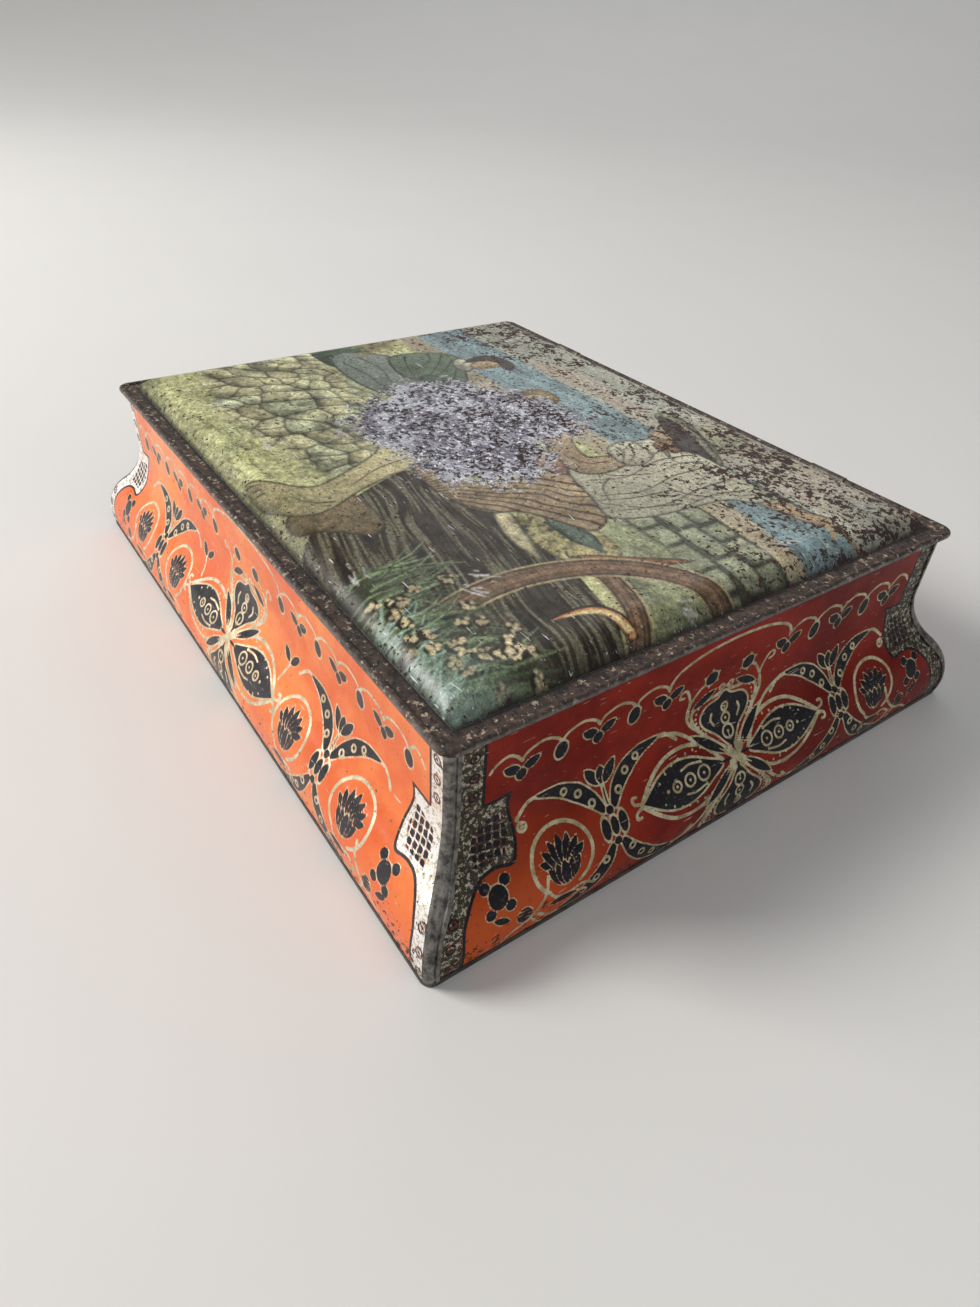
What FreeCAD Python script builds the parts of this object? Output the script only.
"""Hinged biscuit tin with flared ogee walls, a rolled lid rim and a raised picture panel.

Built in millimetres, +Z up, with the origin under the middle of the base.  -Y is the
front, +Y the hinge side.  The outside of the closed lid rim is the reference rectangle:
every wall, seam and rim position is an inset or an outset from it.
"""
import FreeCAD, Part
import Sketcher
from FreeCAD import Placement, Rotation, Vector

import math
import os

DIMENSIONS = {
    # overall, measured on the lid rim
    "lid_length": 240.0,
    "lid_depth": 188.0,
    "rim_corner": 4.5,
    # tinplate and lid wire
    "sheet": 0.3,
    "wire_radius": 0.8,
    "roll_gap": 0.05,
    "axis_inset": 1.15,
    "axis_height": 61.4,
    # ogee wall: straight neck, hollow, then bulge
    "wall_inset": 2.6,
    "wall_top": 61.4,
    "hollow_radius": 25.2,
    "bulge_radius": 22.1,
    "bulge_out": 11.4,
    "bulge_height": 6.5,
    "wall_corner": 1.9,
    # corner seams, folded on the end walls
    "wrap": 2.9,
    "seam_width": 1.0,
    "seam_proud": 0.5,
    "seam_top": 60.0,
    # base
    "base_outset": 11.2,
    "base_width": 1.6,
    "base_height": 2.0,
    "base_corner": 3.2,
    "base_edge": 0.5,
    "plate_height": 1.2,
    # neck that the lid closes over
    "neck_inset": 10.5,
    "neck_top": 64.5,
    "neck_hem": 0.9,
    "neck_notch": 1.35,
    # lid
    "ledge_height": 61.55,
    "ledge_start": 2.07,
    "foot_inset": 6.4,
    "foot_lap": 0.8,
    "pillow_radius": 12.0,
    "pillow_rise": 5.4,
    # hinge straps, looped round the lid wire
    "strap_gauge": 0.6,
    "strap_gap": 0.05,
    "strap_width": 14.0,
    "strap_drop": 13.0,
    "strap_reach": 60.0,
    "strap_corner": 3.0,
    "strap_spacing": 144.0,
    "slot_side_gap": 0.4,
    "slot_depth": 2.8,
}

doc = FreeCAD.newDocument("biscuit_tin")
sheet = doc.addObject("Spreadsheet::Sheet", "Dims")
for row, (alias, value) in enumerate(DIMENSIONS.items(), start=1):
    sheet.set(f"A{row}", alias)
    sheet.set(f"B{row}", str(value))
    sheet.setAlias(f"B{row}", alias)
doc.recompute()

D = type("Dims", (), {alias: float(sheet.get(alias)) for alias in DIMENSIONS})
HALF = {"x": D.lid_length / 2, "y": D.lid_depth / 2}
HALF_CELL = {"x": "Dims.lid_length / 2", "y": "Dims.lid_depth / 2"}

# Each side: the axis it faces along, and its sign on that axis.
SIDES = {"front": ("y", -1), "back": ("y", 1), "left": ("x", -1), "right": ("x", 1)}
FAR = 40.0              # how far a cutting block runs past the tin
OVERRUN = 8.0           # how far a cutter runs past the face it cuts
LOW, HIGH = 0.1, 70.0   # the heights between which a cutting block runs
TOUCH = 1e-3            # two places nearer than this are the same

# Sketch axes to row axes: a section across Y is drawn on YZ, one across X on XZ.
SECTION_TURN = {
    "y": Rotation(Vector(1, 1, 1), 120),
    "x": Rotation(Vector(1, 0, 0), 90),
}
SECTION_PLANE = {"y": "YZ_Plane", "x": "XZ_Plane"}
nodes = {}


# ---------------------------------------------------------------- sketch helpers
def place(sk, key, geo, pos, value, cell, axis):
    """Fixes one coordinate of a point and binds it to a cell expression."""
    kind = "Distance" + axis
    ends = (-1, 1, geo, pos) if value >= 0 else (geo, pos, -1, 1)
    sk.addConstraint(Sketcher.Constraint(kind, *ends, abs(value)))
    number = len(sk.Constraints) - 1
    sk.renameConstraint(number, key)
    sk.setExpression(f"Constraints.{key}", cell if value >= 0 else f"-({cell})")


def radius(sk, key, geo, value, cell):
    sk.addConstraint(Sketcher.Constraint("Radius", geo, value))
    sk.renameConstraint(len(sk.Constraints) - 1, key)
    sk.setExpression(f"Constraints.{key}", cell)


def line(sk, start, end):
    return sk.addGeometry(Part.LineSegment(Vector(*start, 0), Vector(*end, 0)), False)


def arc(sk, centre, size, start, end):
    """Counter-clockwise arc between two angles in radians."""
    circle = Part.Circle(Vector(*centre, 0), Vector(0, 0, 1), size)
    return sk.addGeometry(Part.ArcOfCircle(circle, start, end), False)


def join(sk, a, a_end, b, b_end, kind="Coincident"):
    sk.addConstraint(Sketcher.Constraint(kind, a, a_end, b, b_end))


def straight(sk, kind, geo):
    sk.addConstraint(Sketcher.Constraint(kind, geo))


def rectangle(sk, name, x0, x1, y0, y1):
    """Closed rectangle. Each side is (value, cell)."""
    corners = [(x0[0], y0[0]), (x1[0], y0[0]), (x1[0], y1[0]), (x0[0], y1[0])]
    sides = [line(sk, corners[i], corners[(i + 1) % 4]) for i in range(4)]
    for i in range(4):
        join(sk, sides[i], 2, sides[(i + 1) % 4], 1)
        straight(sk, "Horizontal" if i % 2 == 0 else "Vertical", sides[i])
    place(sk, name + "_x0", sides[3], 2, *x0, "X")
    place(sk, name + "_x1", sides[1], 1, *x1, "X")
    place(sk, name + "_y0", sides[0], 1, *y0, "Y")
    place(sk, name + "_y1", sides[2], 1, *y1, "Y")


def round_rectangle(sk, name, half_x, half_y, corner):
    """Rectangle centred on the origin with rounded corners. Each size is (value, cell)."""
    hx, hy, r = half_x[0], half_y[0], corner[0]
    ends = [
        ((-hx + r, -hy), (hx - r, -hy)),
        ((hx, -hy + r), (hx, hy - r)),
        ((hx - r, hy), (-hx + r, hy)),
        ((-hx, hy - r), (-hx, -hy + r)),
    ]
    sides = [line(sk, *pair) for pair in ends]
    centres = [(hx - r, -hy + r), (hx - r, hy - r), (-hx + r, hy - r), (-hx + r, -hy + r)]
    quarter = math.pi / 2
    arcs = [arc(sk, c, r, (i - 1) * quarter, i * quarter) for i, c in enumerate(centres)]
    for i in range(4):
        join(sk, sides[i], 2, arcs[i], 1, "Tangent")
        join(sk, arcs[i], 2, sides[(i + 1) % 4], 1, "Tangent")
        if i:
            sk.addConstraint(Sketcher.Constraint("Equal", arcs[0], arcs[i]))
    straight(sk, "Horizontal", sides[0])
    radius(sk, name + "_corner", arcs[0], r, corner[1])
    place(sk, name + "_x0", sides[3], 1, -hx, f"-({half_x[1]})", "X")
    place(sk, name + "_x1", sides[1], 1, hx, half_x[1], "X")
    place(sk, name + "_y0", sides[0], 1, -hy, f"-({half_y[1]})", "Y")
    place(sk, name + "_y1", sides[2], 1, hy, half_y[1], "Y")


def body_sketch(body, plane, name, height=None):
    """Sketch on one of the body's own origin planes, raised to a height given by a cell."""
    sk = body.newObject("Sketcher::SketchObject", name)
    origin = next(f for f in body.Origin.OriginFeatures if f.Role == plane)
    sk.AttachmentSupport = [(origin, "")]
    sk.MapMode = "FlatFace"
    if height:
        sk.setExpression("AttachmentOffset.Base.z", height)
    return sk


def new_body(label):
    body = doc.addObject("PartDesign::Body", "Body_" + label)
    body.Label = label
    nodes[label] = body
    return body


def pad(body, sk, cell, midplane=False):
    feature = body.newObject("PartDesign::Pad", "Pad_" + sk.Name)
    feature.Profile = sk
    feature.Length = 1.0
    feature.setExpression("Length", cell)
    feature.Midplane = midplane
    sk.Visibility = False
    doc.recompute()
    return feature


def pocket_through(body, sk):
    feature = body.newObject("PartDesign::Pocket", "Pocket_" + sk.Name)
    feature.Profile = sk
    feature.Type = "ThroughAll"
    feature.Midplane = True
    before = body.Shape.Volume
    doc.recompute()
    if not body.Shape.Volume < before:
        raise SystemExit(f"{sk.Name} cut nothing")


# ---------------------------------------------------------------- the ogee section
def ogee_block(name, side, offset, low=LOW, high=HIGH):
    """Everything inside one wall's outer face, moved out by offset (value, cell).

    The section runs down a straight neck, through a hollow arc and round a bulge arc.
    """
    axis, sign = SIDES[side]
    other = "x" if axis == "y" else "y"
    s, s_cell = offset
    half, half_cell = HALF[axis], HALF_CELL[axis]
    drop = D.hollow_radius + D.bulge_radius
    turn = math.acos(1 - (D.wall_inset + D.bulge_out) / drop)
    flare = D.bulge_height + drop * math.sin(turn)
    neck_x = half - D.wall_inset + s
    hollow_r, bulge_r = D.hollow_radius - s, D.bulge_radius + s
    hollow_c = (sign * (half - D.wall_inset + D.hollow_radius), flare)
    bulge_c = (sign * (half + D.bulge_out - D.bulge_radius), D.bulge_height)
    dip = math.asin((low - D.bulge_height) / bulge_r)
    far = -sign * (half + FAR)
    foot = (bulge_c[0] + sign * bulge_r * math.cos(dip), low)

    sk = doc.addObject("Sketcher::SketchObject", "Section_" + name)
    sk.Placement = Placement(Vector(), SECTION_TURN[axis])
    neck = line(sk, (sign * neck_x, high), (sign * neck_x, flare))
    if sign > 0:
        hollow = arc(sk, hollow_c, hollow_r, math.pi, math.pi + turn)
        bulge = arc(sk, bulge_c, bulge_r, dip, turn)
        hollow_ends, bulge_ends = (1, 2), (2, 1)
    else:
        hollow = arc(sk, hollow_c, hollow_r, -turn, 0)
        bulge = arc(sk, bulge_c, bulge_r, math.pi - turn, math.pi - dip)
        hollow_ends, bulge_ends = (2, 1), (1, 2)
    bottom = line(sk, foot, (far, low))
    back = line(sk, (far, low), (far, high))
    top = line(sk, (far, high), (sign * neck_x, high))
    join(sk, neck, 2, hollow, hollow_ends[0], "Tangent")
    join(sk, hollow, hollow_ends[1], bulge, bulge_ends[0], "Tangent")
    join(sk, bulge, bulge_ends[1], bottom, 1)
    join(sk, bottom, 2, back, 1)
    join(sk, back, 2, top, 1)
    join(sk, top, 2, neck, 1)
    for upright, level in ((neck, bottom), (back, top)):
        straight(sk, "Vertical", upright)
        straight(sk, "Horizontal", level)
    flip = "" if sign > 0 else "-"
    neck_cell = f"{flip}({half_cell} - Dims.wall_inset + {s_cell})"
    bulge_cell = f"{flip}({half_cell} + Dims.bulge_out - Dims.bulge_radius)"
    place(sk, "neck_x", neck, 1, sign * neck_x, neck_cell, "X")
    place(sk, "bulge_x", bulge, 3, bulge_c[0], bulge_cell, "X")
    place(sk, "bulge_z", bulge, 3, bulge_c[1], "Dims.bulge_height", "Y")
    radius(sk, "hollow_r", hollow, hollow_r, f"Dims.hollow_radius - ({s_cell})")
    radius(sk, "bulge_r", bulge, bulge_r, f"Dims.bulge_radius + ({s_cell})")
    place(sk, "far_x", back, 1, far, f"{'-' if sign > 0 else ''}({half_cell} + {FAR})", "X")
    place(sk, "low_z", bottom, 1, low, f"{low}", "Y")
    place(sk, "high_z", top, 1, high, f"{high}", "Y")
    sk.Visibility = False

    block = doc.addObject("Part::Extrusion", "Block_" + name)
    block.Base = sk
    block.DirMode = "Normal"
    block.Solid = True
    block.Symmetric = True
    block.setExpression("LengthFwd", f"2 * ({HALF_CELL[other]} + {FAR})")
    return block


def boolean(kind, name, base, tool):
    result = doc.addObject("Part::" + kind, name)
    result.Base = base
    result.Tool = tool
    return result


def round_upright_edges(name, base, size):
    """Rounds the four corners of a core, which run from its top to its bottom."""
    doc.recompute()
    rounded = doc.addObject("Part::Fillet", name)
    rounded.Base = base
    rounded.Edges = [
        (number, size, size)
        for number, edge in enumerate(base.Shape.Edges, start=1)
        if abs(edge.Vertexes[0].Z - edge.Vertexes[-1].Z) > TOUCH
    ]
    return rounded


def core(name, offset, low, high):
    """The closed shape inside all four walls, moved out by offset."""
    blocks = [ogee_block(f"{name}_{side}", side, offset, low, high) for side in SIDES]
    result = doc.addObject("Part::MultiCommon", "Core_" + name)
    result.Shapes = blocks
    return result


# ---------------------------------------------------------------- walls and seams
def build_walls():
    """Front and back sheets wrap round the corners; the end sheets close them."""
    base_top = D.base_height
    outside = core("outside", (0.0, "0"), base_top, D.wall_top)
    inside = core("inside", (-D.sheet, "-Dims.sheet"), LOW, HIGH)
    outside_round = round_upright_edges("Outside_round", outside, D.wall_corner)
    inside_round = round_upright_edges("Inside_round", inside, D.wall_corner - D.sheet)
    shell = boolean("Cut", "Shell", outside_round, inside_round)

    wrap = (-D.wrap, "-Dims.wrap")
    past = {side: ogee_block("past_" + side, side, wrap) for side in ("front", "back")}
    for side in ("front", "back"):
        wall = boolean("Cut", "Wall_" + side, shell, past[side])
        wall.Label = side + "_wall"
        nodes[side + "_wall"] = wall
    between = boolean("Common", "Between", past["front"], past["back"])
    ends = boolean("Common", "Ends", shell, between)
    for side in ("left", "right"):
        half_box = doc.addObject("Part::Box", "Half_" + side)
        half_box.setExpression("Length", "Dims.lid_length")
        half_box.setExpression("Width", "2 * Dims.lid_depth")
        half_box.setExpression("Height", f"{HIGH}")
        x = "0" if side == "right" else "-Dims.lid_length"
        half_box.setExpression("Placement.Base.x", x)
        half_box.setExpression("Placement.Base.y", "-Dims.lid_depth")
        wall = boolean("Common", "Wall_" + side, ends, half_box)
        wall.Label = side + "_wall"
        nodes[side + "_wall"] = wall


def build_seams():
    """Each folded lock is a narrow raised strip on an end wall, beside the wrap."""
    for end in ("left", "right"):
        rise = (D.seam_proud, "Dims.seam_proud")
        proud = ogee_block("proud_" + end, end, rise, D.base_height, D.seam_top)
        flush = ogee_block("flush_" + end, end, (0.0, "0"))
        layer = boolean("Cut", "Layer_" + end, proud, flush)
        for face in ("front", "back"):
            near = (-D.wrap + D.seam_width / 2, "-Dims.wrap + Dims.seam_width / 2")
            past = (-D.wrap - D.seam_width / 2, "-Dims.wrap - Dims.seam_width / 2")
            name = f"{face}_{end}"
            strip = boolean("Common", "Strip_" + name, layer, ogee_block("near_" + name, face, near))
            seam = boolean("Cut", "Seam_" + name, strip, ogee_block("far_" + name, face, past))
            seam.Label = "corner_seam_" + name
            nodes["corner_seam_" + name] = seam


# ---------------------------------------------------------------- base
def build_base():
    """A folded rim that the tin stands on, and the flat plate soldered inside it."""
    outer = [(HALF[a] + D.base_outset, f"{HALF_CELL[a]} + Dims.base_outset") for a in "xy"]
    inner = [(v - D.base_width, c + " - Dims.base_width") for v, c in outer]
    inner_corner = (D.base_corner - D.base_width, "Dims.base_corner - Dims.base_width")

    rim = new_body("base_rim")
    ring = body_sketch(rim, "XY_Plane", "base_ring")
    round_rectangle(ring, "outer", *outer, (D.base_corner, "Dims.base_corner"))
    round_rectangle(ring, "inner", *inner, inner_corner)
    solid = pad(rim, ring, "Dims.base_height")
    edge = rim.newObject("PartDesign::Fillet", "Base_edge")
    underside = next(f for f in solid.Shape.Faces if f.BoundBox.ZMax < TOUCH)
    edge.Base = (solid, edge_names(solid.Shape, underside.OuterWire.Edges))
    edge.setExpression("Radius", "Dims.base_edge")
    doc.recompute()

    plate = new_body("base_plate")
    sk = body_sketch(plate, "XY_Plane", "base_sheet", "Dims.plate_height")
    round_rectangle(sk, "plate", *inner, inner_corner)
    pad(plate, sk, "Dims.sheet")


def edge_names(shape, wanted):
    numbered = enumerate(shape.Edges, start=1)
    return [f"Edge{i}" for i, edge in numbered if any(edge.isSame(w) for w in wanted)]


# ---------------------------------------------------------------- neck
def build_neck():
    """Four strips inside the wall tops: a flat shoulder, then a hemmed upstand."""
    for side, (axis, sign) in SIDES.items():
        other = "x" if axis == "y" else "y"
        half, half_cell = HALF[axis], HALF_CELL[axis]
        body = new_body("neck_" + side)
        sk = body_sketch(body, SECTION_PLANE[axis], "neck_section_" + side)
        flip = "" if sign > 0 else "-"

        def inset(value, cell):
            return sign * (half - value), f"{flip}({half_cell} - ({cell}))"

        outer = inset(D.wall_inset + D.sheet, "Dims.wall_inset + Dims.sheet")
        face = inset(D.neck_inset, "Dims.neck_inset")
        back = inset(D.neck_inset + D.sheet, "Dims.neck_inset + Dims.sheet")
        hem = inset(D.neck_inset + D.neck_hem, "Dims.neck_inset + Dims.neck_hem")
        top_of_shoulder = (D.wall_top, "Dims.wall_top")
        under_shoulder = (D.wall_top - D.sheet, "Dims.wall_top - Dims.sheet")
        top = (D.neck_top, "Dims.neck_top")
        under_hem = (D.neck_top - D.neck_hem, "Dims.neck_top - Dims.neck_hem")
        outline = [
            (outer, under_shoulder), (back, under_shoulder), (back, under_hem), (hem, under_hem),
            (hem, top), (face, top), (face, top_of_shoulder), (outer, top_of_shoulder),
        ]
        sides = [
            line(sk, (a[0][0], a[1][0]), (b[0][0], b[1][0]))
            for a, b in zip(outline, outline[1:] + outline[:1])
        ]
        for i, geo in enumerate(sides):
            join(sk, geo, 2, sides[(i + 1) % len(sides)], 1)
            x, z = outline[i]
            place(sk, f"x{i}", geo, 1, *x, "X")
            place(sk, f"z{i}", geo, 1, *z, "Y")
        pad(body, sk, f"2 * ({HALF_CELL[other]} - Dims.wall_inset - Dims.sheet)", midplane=True)

        neck_ends(body, side)


def neck_ends(body, side):
    """Mitres both ends of a neck strip, and notches its shoulder clear of the rounded walls."""
    axis, sign = SIDES[side]
    other = "x" if axis == "y" else "y"
    sk = body_sketch(body, "XY_Plane", "neck_ends_" + side)

    def along(value, cell):
        return HALF[other] - value, f"{HALF_CELL[other]} - ({cell})"

    def across(value, cell):
        return HALF[axis] - value, f"{HALF_CELL[axis]} - ({cell})"

    start = (D.wall_inset + D.sheet, "Dims.wall_inset + Dims.sheet")
    past = (start[0] - OVERRUN, f"{start[1]} - {OVERRUN}")
    tip = (start[0] + D.neck_notch, start[1] + " + Dims.neck_notch")
    run = (tip[0] + D.neck_notch + OVERRUN, f"{tip[1]} + Dims.neck_notch + {OVERRUN}")
    deep = (D.neck_inset + OVERRUN, f"Dims.neck_inset + {OVERRUN}")
    outside = along(-OVERRUN, f"-{OVERRUN}")
    outline = [
        (outside, across(*past)), (along(*run), across(*past)), (along(*tip), across(*tip)),
        (along(*deep), across(*deep)), (outside, across(*deep)),
    ]
    for end, name in ((-1, "low"), (1, "high")):
        points = []
        for run_point, side_point in outline:
            pair = [signed(end, run_point), signed(sign, side_point)]
            points.append(pair if axis == "y" else pair[::-1])
        polygon = [
            line(sk, (a[0][0], a[1][0]), (b[0][0], b[1][0]))
            for a, b in zip(points, points[1:] + points[:1])
        ]
        for i, geo in enumerate(polygon):
            join(sk, geo, 2, polygon[(i + 1) % len(polygon)], 1)
            place(sk, f"{name}_x{i}", geo, 1, *points[i][0], "X")
            place(sk, f"{name}_y{i}", geo, 1, *points[i][1], "Y")
    pocket_through(body, sk)


def signed(sign, size):
    """A size (value, cell) with its sign."""
    value, cell = size
    return (value, cell) if sign > 0 else (-value, f"-({cell})")


# ---------------------------------------------------------------- lid
def lid_path(sk):
    """The line that the lid wire follows, for a sweep."""
    inset = "Dims.axis_inset"
    half = [(HALF[a] - D.axis_inset, f"{HALF_CELL[a]} - {inset}") for a in "xy"]
    round_rectangle(sk, "path", *half, (D.rim_corner - D.axis_inset, f"Dims.rim_corner - {inset}"))


def rod_sketch(body, name, value, cell):
    """A circle round the wire's line, where it crosses the XZ plane at +X."""
    sk = body_sketch(body, "XZ_Plane", name)
    x = (HALF["x"] - D.axis_inset, f"{HALF_CELL['x']} - Dims.axis_inset")
    centre = Vector(x[0], D.axis_height, 0)
    geo = sk.addGeometry(Part.Circle(centre, Vector(0, 0, 1), value), False)
    radius(sk, "rod_radius", geo, value, cell)
    place(sk, "centre_x", geo, 3, *x, "X")
    place(sk, "centre_z", geo, 3, D.axis_height, "Dims.axis_height", "Y")
    return sk


def sweep(body, name, profile, path, kind="Additive"):
    pipe = body.newObject(f"PartDesign::{kind}Pipe", name)
    pipe.Profile = profile
    pipe.Spine = path
    pipe.Mode = "Frenet"
    pipe.Transition = "Transformed"
    doc.recompute()


def build_lid():
    roll = (D.wire_radius + D.roll_gap, "Dims.wire_radius + Dims.roll_gap")
    bead = (roll[0] + D.sheet, roll[1] + " + Dims.sheet")

    wire = new_body("lid_wire")
    path = body_sketch(wire, "XY_Plane", "wire_path", "Dims.axis_height")
    lid_path(path)
    sweep(wire, "Wire_sweep", rod_sketch(wire, "wire_rod", D.wire_radius, "Dims.wire_radius"), path)

    frame = new_body("lid_frame")
    path = body_sketch(frame, "XY_Plane", "bead_path", "Dims.axis_height")
    lid_path(path)
    sweep(frame, "Bead_sweep", rod_sketch(frame, "bead_outside", *bead), path)
    ledge = body_sketch(frame, "XY_Plane", "ledge_plan", "Dims.ledge_height")
    start = [(HALF[a] - D.ledge_start, f"{HALF_CELL[a]} - Dims.ledge_start") for a in "xy"]
    start_corner = (D.rim_corner - D.ledge_start, "Dims.rim_corner - Dims.ledge_start")
    round_rectangle(ledge, "start", *start, start_corner)
    lap = "Dims.foot_inset - Dims.foot_lap"
    hole = [(HALF[a] - D.foot_inset - D.foot_lap, f"{HALF_CELL[a]} - {lap}") for a in "xy"]
    ends = [((-v, f"-({c})"), (v, c)) for v, c in hole]
    rectangle(ledge, "hole", *ends[0], *ends[1])
    pad(frame, ledge, "Dims.sheet")
    slots = body_sketch(frame, "XY_Plane", "hinge_slots", "Dims.axis_height")
    half_slot = D.strap_width / 2 + D.slot_side_gap
    for name, sign in (("left", -1), ("right", 1)):
        middle = f"{sign} * Dims.strap_spacing / 2"
        reach = "(Dims.strap_width / 2 + Dims.slot_side_gap)"
        x = sign * D.strap_spacing / 2
        depth = (HALF["y"] - D.slot_depth, f"{HALF_CELL['y']} - Dims.slot_depth")
        out = (HALF["y"] + OVERRUN, f"{HALF_CELL['y']} + {OVERRUN}")
        rectangle(slots, name, (x - half_slot, f"{middle} - {reach}"),
                  (x + half_slot, f"{middle} + {reach}"), depth, out)
    pocket_through(frame, slots)
    sweep(frame, "Roll_sweep", rod_sketch(frame, "bead_inside", *roll), path, "Subtractive")

    build_lid_panel()


def pillow(name, axis, inset):
    """One axis of the raised panel: flat top and a rounded shoulder at each side.

    inset is the sheet's thickness for the underside, or 0 for the face.
    """
    other = "x" if axis == "y" else "y"
    value, cell = inset
    foot = D.ledge_height + D.sheet
    big, rise = D.pillow_radius, D.pillow_rise
    half = HALF[axis] - D.foot_inset
    span = math.sqrt(big ** 2 - (big - rise) ** 2)
    top = foot + rise
    size = big - value
    centre = (half - span, top - big)
    low = foot - (OVERRUN if value else 0.0)
    low_cell = "Dims.ledge_height + Dims.sheet" + (f" - {OVERRUN}" if value else "")
    angle = math.asin((foot - centre[1]) / size)
    edge = centre[0] + size * math.cos(angle)

    sk = doc.addObject("Sketcher::SketchObject", "Pillow_" + name)
    sk.Placement = Placement(Vector(), SECTION_TURN[axis])
    cap = line(sk, (centre[0], centre[1] + size), (-centre[0], centre[1] + size))
    left = arc(sk, (-centre[0], centre[1]), size, math.pi / 2, math.pi - angle)
    right = arc(sk, centre, size, angle, math.pi / 2)
    centre_cell = (
        f"{HALF_CELL[axis]} - Dims.foot_inset"
        " - sqrt(2 * Dims.pillow_radius * Dims.pillow_rise - Dims.pillow_rise * Dims.pillow_rise)"
    )
    height_cell = "Dims.ledge_height + Dims.sheet + Dims.pillow_rise - Dims.pillow_radius"
    sides = [cap, left]
    if value:
        drop_left = line(sk, (-edge, foot), (-edge, low))
        floor = line(sk, (-edge, low), (edge, low))
        drop_right = line(sk, (edge, low), (edge, foot))
        sides += [drop_left, floor, drop_right]
        straight(sk, "Vertical", drop_left)
        straight(sk, "Vertical", drop_right)
        place(sk, "foot_z", drop_left, 1, foot, "Dims.ledge_height + Dims.sheet", "Y")
        place(sk, "foot_z2", drop_right, 2, foot, "Dims.ledge_height + Dims.sheet", "Y")
    else:
        floor = line(sk, (-edge, low), (edge, low))
        sides += [floor]
    sides.append(right)
    join(sk, cap, 2, left, 1, "Tangent")
    for a, b in zip(sides[1:-1], sides[2:]):
        join(sk, a, 2, b, 1)
    join(sk, right, 2, cap, 1, "Tangent")
    straight(sk, "Horizontal", floor)
    radius(sk, "left_r", left, size, f"Dims.pillow_radius - ({cell})")
    place(sk, "left_x", left, 3, -centre[0], f"-({centre_cell})", "X")
    place(sk, "left_z", left, 3, centre[1], height_cell, "Y")
    radius(sk, "right_r", right, size, f"Dims.pillow_radius - ({cell})")
    place(sk, "right_x", right, 3, centre[0], centre_cell, "X")
    place(sk, "low_z", floor, 1, low, low_cell, "Y")
    sk.Visibility = False

    prism = doc.addObject("Part::Extrusion", "Prism_" + name)
    prism.Base = sk
    prism.DirMode = "Normal"
    prism.Solid = True
    prism.Symmetric = True
    prism.setExpression("LengthFwd", f"2 * {HALF_CELL[other]}")
    return prism


def build_lid_panel():
    """The raised picture panel: two pillow sections crossed, so that its corners are mitred."""
    layers = []
    for name, inset in (("face", (0.0, "0")), ("under", (D.sheet, "Dims.sheet"))):
        prisms = [pillow(f"{name}_{axis}", axis, inset) for axis in "xy"]
        layers.append(boolean("Common", "Panel_" + name, *prisms))
    panel = boolean("Cut", "Panel", *layers)
    panel.Label = "lid_panel"
    nodes["lid_panel"] = panel


# ---------------------------------------------------------------- hinge
def build_straps():
    """Each strap is soldered to the back wall and looped round the lid wire."""
    inner = D.wire_radius + D.strap_gap
    outer = inner + D.strap_gauge
    y = HALF["y"] - D.axis_inset
    z = D.axis_height
    low = z - D.strap_drop
    reach = math.radians(-D.strap_reach)
    y_cell = f"{HALF_CELL['y']} - Dims.axis_inset"
    inner_cell = "Dims.wire_radius + Dims.strap_gap"
    outer_cell = inner_cell + " + Dims.strap_gauge"
    for name, sign in (("left", -1), ("right", 1)):
        body = new_body("hinge_strap_" + name)
        middle = f"{sign} * Dims.strap_spacing / 2"
        sk = body_sketch(body, "YZ_Plane", "strap_section_" + name, middle)
        around = arc(sk, (y, z), outer, reach, math.pi)
        bore = arc(sk, (y, z), inner, reach, math.pi)
        back = line(sk, (y - outer, z), (y - outer, low))
        foot = line(sk, (y - outer, low), (y - inner, low))
        front = line(sk, (y - inner, low), (y - inner, z))
        tip = line(sk, (y + inner * math.cos(reach), z + inner * math.sin(reach)),
                   (y + outer * math.cos(reach), z + outer * math.sin(reach)))
        join(sk, around, 2, back, 1, "Tangent")
        join(sk, back, 2, foot, 1)
        join(sk, foot, 2, front, 1)
        join(sk, front, 2, bore, 2, "Tangent")
        join(sk, bore, 1, tip, 1)
        join(sk, tip, 2, around, 1)
        join(sk, around, 3, bore, 3)
        straight(sk, "Vertical", back)
        straight(sk, "Horizontal", foot)
        place(sk, "axis_y", around, 3, y, y_cell, "X")
        place(sk, "axis_z", around, 3, z, "Dims.axis_height", "Y")
        radius(sk, "outer_r", around, outer, outer_cell)
        radius(sk, "inner_r", bore, inner, inner_cell)
        place(sk, "low_z", foot, 1, low, "Dims.axis_height - Dims.strap_drop", "Y")
        strap = pad(body, sk, "Dims.strap_width", midplane=True)
        corners = [
            edge for edge in strap.Shape.Edges
            if edge.BoundBox.ZMax < low + TOUCH and edge.BoundBox.XLength < TOUCH
        ]
        rounded = body.newObject("PartDesign::Fillet", "Strap_corners_" + name)
        rounded.Base = (strap, edge_names(strap.Shape, corners))
        rounded.setExpression("Radius", "Dims.strap_corner")
        doc.recompute()


# ---------------------------------------------------------------- build and export
def export():
    doc.recompute()
    for item in doc.Objects:
        if "Invalid" in item.State or "Error" in item.State:
            raise SystemExit(f"{item.Name} failed: {item.State}")
    os.makedirs("parts", exist_ok=True)
    for label, item in nodes.items():
        shape = item.Shape
        if shape.isNull() or not shape.isValid() or not shape.Solids:
            raise SystemExit(f"{label} has no valid solid")
        print(f"{label:28s} {len(shape.Solids)} solid(s) {shape.Volume:10.1f} mm3")
        shape.exportStep(f"parts/{label}.step")


build_walls()
build_seams()
build_base()
build_neck()
build_lid()
build_straps()
export()
